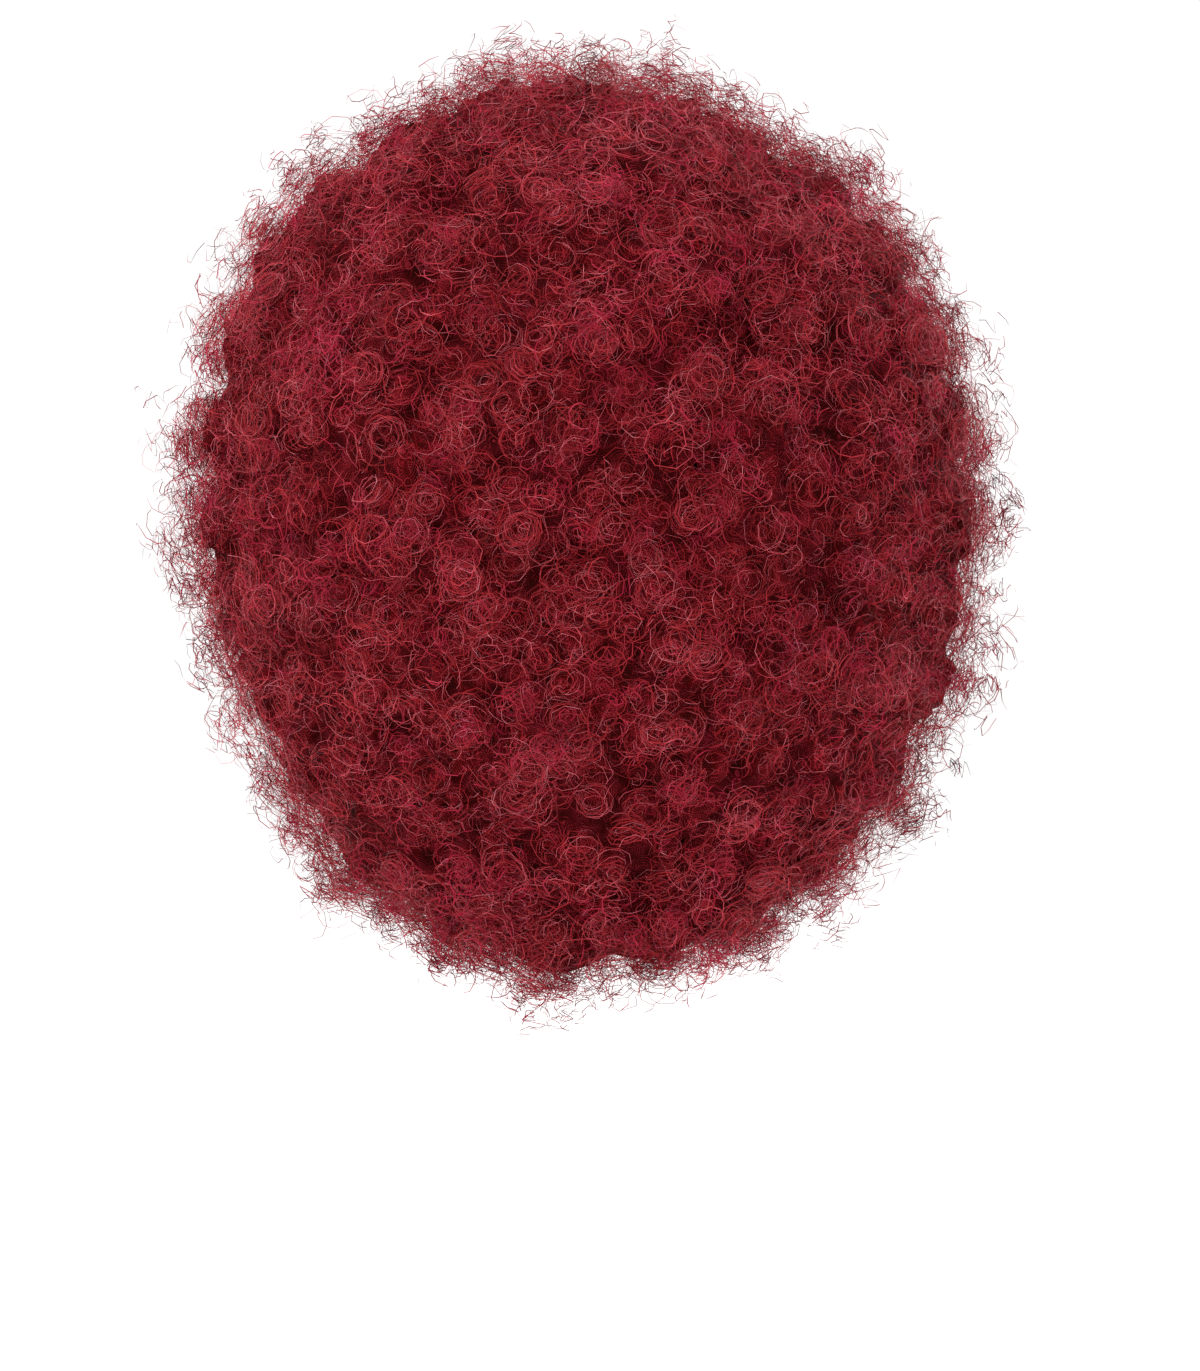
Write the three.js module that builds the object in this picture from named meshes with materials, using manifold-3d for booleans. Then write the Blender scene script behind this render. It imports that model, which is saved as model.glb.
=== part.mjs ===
// Afro wig: a ball of tightly curled hair on a close-fitting stretch cap.
// Millimetres, +Z up. The wearer faces -Y, and +X is the wearer's left.
// The origin is where the crown of the head meets the inside of the cap.

import * as THREE from 'three';
import { ConvexHull } from 'three/addons/math/ConvexHull.js';
import { mergeVertices } from 'three/addons/utils/BufferGeometryUtils.js';
import Module from 'manifold-3d';

const wasm = await Module();
wasm.setup();

// Driving dimensions of the head that the cap fits
const HEAD_BREADTH = 155;
const HEAD_LENGTH = 195;
const CROWN_HEIGHT = 100; // from the head's widest level up to its crown
const NAPE_TAPER = 112; // the larger, the slower the head draws in below that level
const NECK_BREADTH = 116;
const NECK_DEPTH = 122;
const NECK_CENTRE_Y = 12;
const NECK_TOP_DROP = 205; // from the crown down to where the neck is at its own size

// Driving dimensions of the cap and its band
const CAP_DEPTH = 168; // from the crown down to the cap's edge at the nape
const CAP_WALL = 1.5;
const BAND_WALL = 2.1;
const BAND_WIDTH = 9;
const PIECE_GAP = 0.3; // between the hair and the cap
const RIM_GAP = 0.5; // between the cap's edge and the band, measured down the surface

// Driving dimensions of the hair, over the tops of its locks
const HAIR_WIDTH = 416;
const HAIR_HEIGHT = 466;
const HAIR_DEPTH = 400;
const HAIR_ABOVE_CROWN = 150;
const HAIR_TO_SKIN = 4; // how far the hair below the cap stands off the neck

// Driving dimensions of the locks
const LOCK_SPACING = 49;
const LOCK_RISE = 17; // from the valleys between locks up to the ring round a lock's middle
const LOCK_DIMPLE = 4;
const LOCK_JITTER = 9; // how far a lock may lie from its even place
const RINGLET_LENGTH = 52; // of the ringlets that hang from the lower edge
const RINGLET_RADIUS = 19;
const RINGLET_SIDES = 6;

// Driving dimensions of the face opening
const FACE_WIDTH = 138;
const FACE_MOUTH_WIDTH = 172; // at the front of the hair
const FACE_TOP_DROP = 62; // from the crown down to the top of the opening at the forehead
const FACE_MOUTH_TOP_DROP = 50;
const FACE_ARCH_HEIGHT = 62;
const FACE_PLANE_Y = -70;
const FACE_MOUTH_PLACE = 0.45; // how far forwards the mouth lies, as a share of HAIR_DEPTH
const FACE_EDGE_WAVE = 6; // how far the locks along its walls reach into it
const FACE_WAVES = 6; // locks over its arch
const FACE_SECTIONS = 5; // from the head to the front of the hair
const ARCH_STEPS = 24;
const EDGE_LOCK_SPACING = 37; // along the edge of its mouth
const EDGE_LOCK_RADIUS = 23;
const EDGE_LOCK_HEIGHT = 42;
const EDGE_LOCK_SIDES = 6;
const EDGE_LOCK_VARIATION = 0.25; // how much smaller the smallest of them is
const EDGE_LOW_LEVEL = 0.8; // where its side edges end, as a share of HAIR_HEIGHT below the top

const AROUND = 48; // steps round the head
const CAP_ROWS = 8;
const LEVEL_STEPS = 400; // down the hair, where its rows of locks are laid out

// The edge of the cap, from the forehead round to the nape: the drop is a share of CAP_DEPTH
const capEdge = [
  { place: 'forehead', turn: 0, drop: 0.31 },
  { place: 'hairline', turn: 32, drop: 0.335 },
  { place: 'temple', turn: 54, drop: 0.47 },
  { place: 'ear tab', turn: 72, drop: 0.7 },
  { place: 'over the ear', turn: 90, drop: 0.585 },
  { place: 'behind the ear', turn: 112, drop: 0.66 },
  { place: 'below the ear', turn: 134, drop: 0.87 },
  { place: 'nape corner', turn: 156, drop: 0.98 },
  { place: 'nape', turn: 180, drop: 1 },
];

// Sections of the hair from top to bottom. The level is a share of HAIR_HEIGHT below the top,
// left and right are shares of HAIR_WIDTH, and front and back are shares of HAIR_DEPTH.
const hairSections = [
  { level: 0, left: 0.02, right: -0.01, front: -0.01, back: 0.02 },
  { level: 0.017, left: 0.13, right: 0.085, front: 0.11, back: 0.12 },
  { level: 0.05, left: 0.234, right: 0.153, front: 0.19, back: 0.22 },
  { level: 0.082, left: 0.288, right: 0.234, front: 0.25, back: 0.28 },
  { level: 0.147, left: 0.386, right: 0.338, front: 0.33, back: 0.366 },
  { level: 0.212, left: 0.43, right: 0.394, front: 0.386, back: 0.432 },
  { level: 0.277, left: 0.472, right: 0.434, front: 0.424, back: 0.478 },
  { level: 0.342, left: 0.485, right: 0.458, front: 0.445, back: 0.51 },
  { level: 0.429, left: 0.502, right: 0.475, front: 0.454, back: 0.538 },
  { level: 0.515, left: 0.498, right: 0.478, front: 0.44, back: 0.546 },
  { level: 0.602, left: 0.488, right: 0.458, front: 0.415, back: 0.53 },
  { level: 0.667, left: 0.451, right: 0.446, front: 0.386, back: 0.505 },
  { level: 0.742, left: 0.438, right: 0.414, front: 0.348, back: 0.464 },
  { level: 0.797, left: 0.409, right: 0.397, front: 0.31, back: 0.428 },
  { level: 0.84, left: 0.36, right: 0.347, front: 0.268, back: 0.392 },
  { level: 0.887, left: 0.33, right: 0.298, front: 0.21, back: 0.354 },
  { level: 0.931, left: 0.261, right: 0.256, front: 0.14, back: 0.315 },
  { level: 0.965, left: 0.227, right: 0.209, front: 0.06, back: 0.276 },
  { level: 0.991, left: 0.163, right: 0.143, front: -0.03, back: 0.232 },
  { level: 1, left: 0.02, right: -0.01, front: -0.14, back: 0.16 },
];

// Ringlets that hang from the lower edge. Across is a share of HAIR_WIDTH to the wearer's left, behind is
// a share of HAIR_DEPTH, up is a share of HAIR_HEIGHT above the lowest hair, and size is a share of both
// ringlet dimensions.
const ringlets = [
  { across: 0.19, behind: 0.2, up: 0.055, size: 0.9 },
  { across: 0.135, behind: 0.255, up: 0.03, size: 1 },
  { across: 0.07, behind: 0.27, up: 0.004, size: 1.1 },
  { across: -0.005, behind: 0.275, up: 0.02, size: 0.95 },
  { across: -0.075, behind: 0.265, up: 0.006, size: 1.05 },
  { across: -0.14, behind: 0.25, up: 0.035, size: 1 },
  { across: -0.2, behind: 0.19, up: 0.075, size: 0.9 },
  { across: 0.3, behind: 0.1, up: 0.075, size: 1 },
  { across: 0.255, behind: 0.0, up: 0.07, size: 0.9 },
];

// Outlines of a hanging ringlet and of a lock at the edge of the mouth, from their tips to their
// roots: out is a share of the radius and up is a share of the length
const ringletProfile = [
  { out: 0, up: 0 },
  { out: 0.72, up: 0.1 },
  { out: 1, up: 0.38 },
  { out: 0.8, up: 0.78 },
  { out: 0, up: 1 },
];
const edgeLockProfile = [
  { out: 0, up: 0 },
  { out: 1, up: 0.35 },
  { out: 0.8, up: 0.8 },
  { out: 0, up: 1 },
];

// Interpolates the columns of a table at a value of its key column
function readTable(table, key, value, columns) {
  const last = table.length - 1;
  let row = 0;
  while (row < last - 1 && table[row + 1][key] < value) row += 1;
  const low = table[row];
  const high = table[row + 1];
  const share = THREE.MathUtils.clamp((value - low[key]) / (high[key] - low[key]), 0, 1);
  return columns.map((name) => THREE.MathUtils.lerp(low[name], high[name], share));
}

// A repeatable number from 0 to 1 for each index and purpose
function vary(index, purpose) {
  const wave = Math.sin(index * 12.9898 + purpose * 78.233) * 43758.5453;
  return wave - Math.floor(wave);
}

// A closed geometry over rings of points, each ring given in order round the +Z axis.
// The first and last rings are closed by a point each.
function closeRings(firstPole, rings, lastPole) {
  const count = rings[0].length;
  const points = [firstPole, ...rings.flat(), lastPole];
  const at = (ring, step) => 1 + ring * count + (step % count);
  const triangles = [];
  for (let step = 0; step < count; step += 1) {
    triangles.push(0, at(0, step), at(0, step + 1));
    for (let ring = 0; ring + 1 < rings.length; ring += 1) {
      triangles.push(at(ring, step), at(ring + 1, step), at(ring + 1, step + 1));
      triangles.push(at(ring, step), at(ring + 1, step + 1), at(ring, step + 1));
    }
    triangles.push(at(rings.length - 1, step), points.length - 1, at(rings.length - 1, step + 1));
  }
  return indexedGeometry(points, triangles);
}

function scaleProfile(profile, radius, length) {
  return profile.map(({ out, up }) => new THREE.Vector2(out * radius, up * length));
}

function indexedGeometry(points, triangles) {
  const geometry = new THREE.BufferGeometry().setFromPoints(points);
  geometry.setIndex(triangles);
  return geometry;
}

// Passes a closed geometry to the boolean library
function toSolid(geometry) {
  const bare = geometry.clone();
  bare.deleteAttribute('normal');
  bare.deleteAttribute('uv');
  const merged = mergeVertices(bare);
  return new wasm.Manifold(new wasm.Mesh({
    numProp: 3,
    vertProperties: new Float32Array(merged.attributes.position.array),
    triVerts: new Uint32Array(merged.index.array),
  }));
}

function toGeometry(solid) {
  const mesh = solid.getMesh();
  const geometry = new THREE.BufferGeometry();
  geometry.setAttribute('position', new THREE.BufferAttribute(mesh.vertProperties, 3));
  geometry.setIndex(new THREE.BufferAttribute(mesh.triVerts, 1));
  return geometry;
}

// The head under the cap. Turn is the angle round the head in radians, 0 at the face,
// and polar is the angle down from the crown. Offset moves the surface outwards.
function headPoint(turn, polar, offset) {
  const height = (Math.cos(polar) >= 0 ? CROWN_HEIGHT : NAPE_TAPER) + offset;
  return new THREE.Vector3(
    (HEAD_BREADTH / 2 + offset) * Math.sin(polar) * Math.sin(turn),
    -(HEAD_LENGTH / 2 + offset) * Math.sin(polar) * Math.cos(turn),
    height * Math.cos(polar) - CROWN_HEIGHT,
  );
}

// The polar angle of the cap's edge, which is alike on both sides of the head
function edgePolar(turn) {
  const degrees = THREE.MathUtils.radToDeg(turn) % 360;
  const mirrored = degrees > 180 ? 360 - degrees : degrees;
  const [drop] = readTable(capEdge, 'turn', mirrored, ['drop']);
  const rise = CROWN_HEIGHT - drop * CAP_DEPTH;
  return Math.acos(rise / (rise >= 0 ? CROWN_HEIGHT : NAPE_TAPER));
}

const turns = Array.from({ length: AROUND }, (_, step) => (2 * Math.PI * step) / AROUND);
const meanRadius = (HEAD_BREADTH + HEAD_LENGTH) / 4;
const bandTop = RIM_GAP / meanRadius;
const bandBottom = (RIM_GAP + BAND_WIDTH) / meanRadius;

// Rings on the head's surface from near the crown down to the cap's edge
function capRings(offset) {
  return Array.from({ length: CAP_ROWS }, (_, row) => (
    turns.map((turn) => headPoint(turn, (edgePolar(turn) * (row + 1)) / CAP_ROWS, offset))
  ));
}

const crownPoint = (offset) => new THREE.Vector3(0, 0, offset);

function makeCap() {
  const outer = capRings(CAP_WALL);
  const inner = capRings(0).reverse();
  return closeRings(crownPoint(CAP_WALL), [...outer, ...inner], crownPoint(0));
}

// The band carries on the cap's outer surface and is thicker towards the head
function makeBand() {
  const ring = (offset, drop) => turns.map((turn) => headPoint(turn, edgePolar(turn) + drop, offset));
  const inside = CAP_WALL - BAND_WALL;
  const rings = [
    ring(CAP_WALL, bandTop),
    ring(CAP_WALL, bandBottom),
    ring(inside, bandBottom),
    ring(inside, bandTop),
  ];
  const points = rings.flat();
  const at = (row, step) => (row % rings.length) * AROUND + (step % AROUND);
  const triangles = [];
  for (let step = 0; step < AROUND; step += 1) {
    for (let row = 0; row < rings.length; row += 1) {
      triangles.push(at(row, step), at(row + 1, step), at(row + 1, step + 1));
      triangles.push(at(row, step), at(row + 1, step + 1), at(row, step + 1));
    }
  }
  return indexedGeometry(points, triangles);
}

const hairTop = HAIR_ABOVE_CROWN;
const hairBottom = HAIR_ABOVE_CROWN - HAIR_HEIGHT;
const pastHair = HAIR_HEIGHT / 10; // how far cutters run past the hair

// The head, cap and neck that the hair leaves room for
function makeHeadCutter() {
  const offset = CAP_WALL + PIECE_GAP;
  const underBand = turns.map((turn) => headPoint(turn, edgePolar(turn) + bandBottom + bandTop, offset));
  const neckRing = (z) => turns.map((turn) => new THREE.Vector3(
    (NECK_BREADTH / 2 + HAIR_TO_SKIN) * Math.sin(turn),
    NECK_CENTRE_Y - (NECK_DEPTH / 2 + HAIR_TO_SKIN) * Math.cos(turn),
    z,
  ));
  const floor = hairBottom - pastHair;
  return closeRings(
    crownPoint(offset),
    [...capRings(offset), underBand, neckRing(-NECK_TOP_DROP), neckRing(floor)],
    new THREE.Vector3(0, NECK_CENTRE_Y, floor),
  );
}

const mouthY = -FACE_MOUTH_PLACE * HAIR_DEPTH;

// The face opening at a place along Y: half its width and the height of its top
function faceOpening(y) {
  const share = (y - FACE_PLANE_Y) / (mouthY - FACE_PLANE_Y);
  return {
    half: THREE.MathUtils.lerp(FACE_WIDTH, FACE_MOUTH_WIDTH, share) / 2,
    top: -THREE.MathUtils.lerp(FACE_TOP_DROP, FACE_MOUTH_TOP_DROP, share),
  };
}

// The edge of the face opening at a place along Y, from the wearer's left over the top to the right.
// Locks round the edge reach into the opening, and turn lets them lie between those of the next section.
function archPoints(y, turn) {
  const { half, top } = faceOpening(y);
  return Array.from({ length: ARCH_STEPS + 1 }, (_, step) => {
    const angle = (Math.PI * step) / ARCH_STEPS;
    const wave = FACE_EDGE_WAVE * Math.abs(Math.sin(FACE_WAVES * angle + turn));
    return new THREE.Vector3(
      (half - wave) * Math.cos(angle),
      y,
      top - FACE_ARCH_HEIGHT + (FACE_ARCH_HEIGHT - wave) * Math.sin(angle),
    );
  });
}

function makeFaceCutter() {
  const floor = hairBottom - pastHair;
  const frontY = mouthY - pastHair;
  const section = (y, turn) => {
    const arch = archPoints(y, turn);
    const foot = (point) => new THREE.Vector3(point.x, y, floor);
    return [foot(arch[0]), ...arch, foot(arch[ARCH_STEPS])];
  };
  const rings = Array.from({ length: FACE_SECTIONS }, (_, row) => {
    const share = row / (FACE_SECTIONS - 1);
    return section(frontY * (1 - share), (Math.PI / 2) * (row % 2));
  });
  const middle = (points) => points.reduce((sum, point) => sum.add(point), new THREE.Vector3())
    .divideScalar(points.length);
  return closeRings(middle(rings[0]), rings, middle(rings[FACE_SECTIONS - 1]));
}

// The middle and half sizes of the hair's section at a level, over the tops of the locks
function hairSection(level) {
  const columns = ['left', 'right', 'front', 'back'];
  const [left, right, front, back] = readTable(hairSections, 'level', level, columns);
  return {
    x: ((left - right) / 2) * HAIR_WIDTH,
    y: ((back - front) / 2) * HAIR_DEPTH,
    halfX: ((left + right) / 2) * HAIR_WIDTH,
    halfY: ((front + back) / 2) * HAIR_DEPTH,
    z: hairTop - level * HAIR_HEIGHT,
  };
}

function hairPoint(level, turn) {
  const section = hairSection(level);
  return new THREE.Vector3(
    section.x + section.halfX * Math.sin(turn),
    section.y - section.halfY * Math.cos(turn),
    section.z,
  );
}

// The levels of the rows of locks, which lie evenly down the back of the hair
function lockLevels() {
  const levels = [];
  let walked = 0;
  for (let step = 1; step <= LEVEL_STEPS; step += 1) {
    const above = hairPoint((step - 1) / LEVEL_STEPS, Math.PI);
    const here = hairPoint(step / LEVEL_STEPS, Math.PI);
    walked += above.distanceTo(here);
    if (walked >= LOCK_SPACING) {
      levels.push(step / LEVEL_STEPS);
      walked -= LOCK_SPACING;
    }
  }
  return levels;
}

// The middles of all locks on the hair's surface, in staggered rows and a little uneven
function lockMiddles() {
  const middles = [hairPoint(0, 0)];
  lockLevels().forEach((level, row) => {
    const { halfX, halfY } = hairSection(level);
    const around = Math.PI * (halfX + halfY);
    const count = Math.max(3, Math.round(around / LOCK_SPACING));
    for (let step = 0; step < count; step += 1) {
      const index = middles.length;
      const down = (LOCK_JITTER / HAIR_HEIGHT) * (2 * vary(index, 1) - 1);
      const along = (LOCK_JITTER / around) * (2 * vary(index, 2) - 1);
      const turn = 2 * Math.PI * ((step + 0.5 * (row % 2)) / count + along);
      middles.push(hairPoint(THREE.MathUtils.clamp(level + down, 0, 1), turn));
    }
  });
  middles.push(hairPoint(1, Math.PI));
  return middles;
}

// Joins neighbouring locks into triangles: seen from the middle of the ball, three locks are
// neighbours where a face of the convex hull of their directions holds them
function lockFaces(middles) {
  const centre = new THREE.Vector3(0, 0, (hairTop + hairBottom) / 2);
  const directions = middles.map((point) => point.clone().sub(centre).normalize());
  const numbers = new Map(directions.map((direction, index) => [direction, index]));
  return new ConvexHull().setFromPoints(directions).faces.map((face) => (
    [0, 1, 2].map((corner) => numbers.get(face.getEdge(corner).head().point))
  ));
}

// Each lock is a curl seen end on: a dimple at its middle, a raised ring and a rounded shoulder
// that falls to the valleys which it shares with its neighbours
const lockRings = [
  { reach: 0.36, rise: 1 },
  { reach: 0.74, rise: 0.72 },
];

// The hair's outer form as one closed surface of locks on their backing
function makeLocks() {
  const middles = lockMiddles();
  const faces = lockFaces(middles);
  const outward = middles.map(() => new THREE.Vector3());
  faces.forEach((face) => {
    const [a, b, c] = face.map((index) => middles[index]);
    const normal = b.clone().sub(a).cross(c.clone().sub(a));
    face.forEach((index) => outward[index].add(normal));
  });
  outward.forEach((direction) => direction.normalize());
  const points = middles.map((point, index) => (
    point.clone().addScaledVector(outward[index], -LOCK_DIMPLE)
  ));
  const valleys = faces.map((face) => {
    const middle = new THREE.Vector3();
    const direction = new THREE.Vector3();
    face.forEach((index) => middle.addScaledVector(middles[index], 1 / 3));
    face.forEach((index) => direction.add(outward[index]));
    points.push(middle.addScaledVector(direction.normalize(), -LOCK_RISE));
    return points.length - 1;
  });
  const ringNumbers = faces.map((face, number) => face.map((index) => lockRings.map(({ reach, rise }) => {
    const point = middles[index].clone().lerp(points[valleys[number]], reach);
    const lift = rise - (1 - reach);
    points.push(point.addScaledVector(outward[index], LOCK_RISE * lift));
    return points.length - 1;
  })));
  const faceOfEdge = new Map();
  faces.forEach((face, number) => face.forEach((from, corner) => {
    faceOfEdge.set(`${from} ${face[(corner + 1) % 3]}`, { number, corner });
  }));
  const triangles = [];
  faces.forEach((face, number) => face.forEach((lock, corner) => {
    const other = faceOfEdge.get(`${face[(corner + 1) % 3]} ${lock}`);
    const otherCorner = (other.corner + 1) % 3;
    const left = [...ringNumbers[number][corner], valleys[number]];
    const right = [...ringNumbers[other.number][otherCorner], valleys[other.number]];
    triangles.push(lock, right[0], left[0]);
    for (let ring = 0; ring < lockRings.length; ring += 1) {
      triangles.push(right[ring], right[ring + 1], left[ring + 1]);
      triangles.push(right[ring], left[ring + 1], left[ring]);
    }
  }));
  return indexedGeometry(points, triangles);
}

// A hanging ringlet: a long drop, widest a little below its middle
function makeRinglet({ across, behind, up, size }) {
  const length = RINGLET_LENGTH * size;
  const radius = RINGLET_RADIUS * size;
  const drop = new THREE.LatheGeometry(scaleProfile(ringletProfile, radius, length), RINGLET_SIDES)
    .rotateX(Math.PI / 2);
  return drop.translate(across * HAIR_WIDTH, behind * HAIR_DEPTH, hairBottom + up * HAIR_HEIGHT);
}

// The path of the mouth's edge on the hair's surface, from one jaw over the forehead to the other
function mouthEdge() {
  const arch = archPoints(mouthY, 0);
  const lowZ = hairTop - EDGE_LOW_LEVEL * HAIR_HEIGHT;
  const foot = (point) => new THREE.Vector3(point.x, point.y, lowZ);
  const outline = [foot(arch[0]), ...arch, foot(arch[ARCH_STEPS])];
  const path = new THREE.CurvePath();
  outline.slice(1).forEach((point, index) => path.add(new THREE.LineCurve3(outline[index], point)));
  return path;
}

// Locks round the mouth of the face opening, each standing on the hair's surface
function makeEdgeLocks() {
  const path = mouthEdge();
  const count = Math.round(path.getLength() / EDGE_LOCK_SPACING);
  const profile = scaleProfile(edgeLockProfile, EDGE_LOCK_RADIUS, EDGE_LOCK_HEIGHT);
  return Array.from({ length: count + 1 }, (_, index) => {
    const { x, z } = path.getPoint(index / count);
    const level = (hairTop - z) / HAIR_HEIGHT;
    const section = hairSection(level);
    const point = hairPoint(level, Math.asin((x - section.x) / section.halfX));
    const size = 1 - EDGE_LOCK_VARIATION * vary(index, 5);
    const direction = point.clone().setZ(0).normalize();
    const spin = new THREE.Quaternion().setFromAxisAngle(direction, 2 * Math.PI * vary(index, 6));
    const turned = new THREE.Quaternion().setFromUnitVectors(new THREE.Vector3(0, 1, 0), direction);
    const base = point.addScaledVector(direction, -EDGE_LOCK_HEIGHT * size);
    const scale = new THREE.Vector3(size, size, size);
    const placed = new THREE.Matrix4().compose(base, spin.multiply(turned), scale);
    return new THREE.LatheGeometry(profile, EDGE_LOCK_SIDES).applyMatrix4(placed);
  });
}

// Makes the hair: locks and ringlets joined, then opened for the face and hollowed for the head
function makeHair() {
  let hair = toSolid(makeLocks());
  for (const ringlet of ringlets) hair = hair.add(toSolid(makeRinglet(ringlet)));
  hair = hair.subtract(toSolid(makeFaceCutter()));
  for (const lock of makeEdgeLocks()) hair = hair.add(toSolid(lock));
  return toGeometry(hair.subtract(toSolid(makeHeadCutter())));
}

const hairMaterial = new THREE.MeshStandardMaterial({ color: 0x7a1f2c, roughness: 0.7, metalness: 0 });
const capMaterial = new THREE.MeshStandardMaterial({ color: 0x1c1416, roughness: 0.9, metalness: 0 });
const bandMaterial = new THREE.MeshStandardMaterial({ color: 0x141012, roughness: 0.8, metalness: 0 });

function piece(name, geometry, material) {
  geometry.computeVertexNormals();
  const mesh = new THREE.Mesh(geometry, material);
  mesh.name = name;
  return mesh;
}

const wig = new THREE.Group();
wig.add(piece('hair', makeHair(), hairMaterial));
wig.add(piece('wig_cap', makeCap(), capMaterial));
wig.add(piece('edge_band', makeBand(), bandMaterial));

export default wig;
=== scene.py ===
# Looks of an afro wig: tight curls of coloured fibre on a dark net cap with an elastic edge.
# Metres, +Z up. The wearer faces -Y, and +X is the wearer's left.

import math

import bmesh
import bpy
import numpy as np
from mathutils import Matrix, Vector, noise
from mathutils.bvhtree import BVHTree
from mathutils.kdtree import KDTree


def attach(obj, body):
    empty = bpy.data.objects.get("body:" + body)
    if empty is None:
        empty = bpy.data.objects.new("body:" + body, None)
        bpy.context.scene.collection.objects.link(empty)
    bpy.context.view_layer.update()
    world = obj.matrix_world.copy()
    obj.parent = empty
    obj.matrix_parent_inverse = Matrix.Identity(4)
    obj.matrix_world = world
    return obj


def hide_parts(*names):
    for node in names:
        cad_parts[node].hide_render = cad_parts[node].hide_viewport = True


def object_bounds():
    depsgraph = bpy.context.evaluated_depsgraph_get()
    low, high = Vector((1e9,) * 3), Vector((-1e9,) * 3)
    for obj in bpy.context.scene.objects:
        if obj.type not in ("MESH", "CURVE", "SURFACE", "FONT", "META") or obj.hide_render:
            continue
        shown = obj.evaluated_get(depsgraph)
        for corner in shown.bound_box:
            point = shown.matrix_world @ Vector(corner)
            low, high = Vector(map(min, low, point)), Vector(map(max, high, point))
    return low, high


# The photograph's framing
PHOTO_HEIGHT = 0.6855  # what the frame's long side takes in at the wig
VIEW_CENTRE = (0.0, 0.0, -0.168)
VIEW_DISTANCE = 2.2
VIEW_ELEVATION = 2.0
SENSOR = 36.0
FLOOR_LEVEL = -0.502

# The mass of hair under the curls
MASS_VOXEL = 0.0042
MASS_SMOOTHING = 28
MASS_INSET = 0.0086  # under the tops of the curls
CORNER_ROUNDS = 16  # how widely corners are looked for, in rounds of evening out
CORNER_LEAST = 0.0012  # a bulge under this is no corner
CORNER_GAIN = 4.0
CORNER_INSET = 0.009  # at most
TUFT_ROUNDS = 5  # how softly one curl's height runs into the next
MASS_CAP_INSET = 0.003  # where it lies on the cap
MASS_EDGE_INSET = 0.0078  # at the lower edge
CAP_REACH = 0.012  # hair closer to the cap than half of this lies on it
CAP_BLEND = 1.5  # of that reach, where it has come away from it
CAP_SEARCH = 0.05
TUFT_RELIEF = 0.0024  # each curl's tuft stands this far over the mean, and its rim under it
TUFT_REACH = 0.62  # of the curls' spacing, from a tuft's middle to its rim
TUFT_DIMPLE = 0.0022
TUFT_DIMPLE_REACH = 0.0024
TUFT_FOLLOWS = 0.7  # the share of the curls' heights that the mass takes on
MASS_RELIEF = 0.0012
RELIEF_SIZE = 0.006
MASS_GAP = 0.006  # how much deeper it lies in the gaps between tufts
PAINTED_SHADE_RANGE = 0.006  # of the relief, over which the mass's painted shade runs from the darkest to the palest
GAP_PAINTED_SHADE = 0.8  # how much darker the mass's painted shade makes it in the gaps
LOW_EDGE = -0.245  # the lower edge begins at this height
LOW_EDGE_RUN = 0.04

# The curls. Here a lock is one curl's place, many of which grow on each lock of the frame
LOCK_SPACING = 0.0142
LOCK_RADIUS = (0.0062, 0.0102)
LOCK_SINK = 0.0026  # how far the curls' roots lie under the frame's surface
LOCK_TO_CAP = 0.02  # no curl grows closer to the cap
LOCK_LEAN = 0.8  # how strongly a curl points away from the ball's centre
LOCK_TURN = 0.22  # and how far it turns from that at random
LOCK_DROOP = 0.08
OUTER_FACING = 0.2  # curls that face away from the centre less than this lie at an opening
INNER_RADIUS = 0.9
INNER_DROP = 0.001
CLUMP_SIZE = 0.044
CLUMP_STRETCH = (0.6, 1.0, 1.3)  # clumps lie wider than high
CLUMP_FULL = 0.5  # of the noise, where a clump is at its fullest
CLUMP_MEAN = 0.45
CLUMP_HEIGHT = 0.0115
CLUMP_CREASE = 0.16  # how wide the creases between clumps are, on the same scale
HEIGHT_VARIATION = 0.002
HEIGHT_SIZE = 0.017
GAP_DROP = 0.008
ROSETTE_SHARE = 0.15  # of the curls, neat rings seen end on
ROSETTE_FACING = 0.4  # at least
ROSETTE_RADIUS = (0.0064, 0.0092)
ROSETTE_MESS = 0.07
ROSETTE_LIFT = 0.0016

# How untidy the curls are: least, the range over that, and more of it towards the crown
MESS = {"least": 0.16, "range": 0.3, "middle": 0.4, "size": 0.045, "crown": 2.5}

# Shades of the curls from 0 to 1: the mean, and what is added to it or taken off. The drift and the curl's
# own term are tone that differs at random; the crown's paleness is painted light, the high clumps get
# painted light, and the darkening in gaps, creases, low clumps and the middle of the back is painted shade
SHADE = {
    "mean": 0.46, "drift": 0.14, "drift_size": 0.05, "crown": 0.1, "gap": 0.5,
    "clump": 0.16, "painted_crease_shade": 0.22, "curl": 0.06, "middle": 0.09,
}
CROWN_LIGHT = {"up": -0.05, "run": 0.2}  # where the painted light of the crown begins, and over what height
MIDDLE_PAINTED_SHADE = {"up": -0.09, "across": 0.11, "high": 0.1}  # where the painted shade in the middle of the back lies
FULL_EDGE = {"up": -0.25, "run": 0.03, "more": 1.2}  # where the hair hangs free it has more strands

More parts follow.
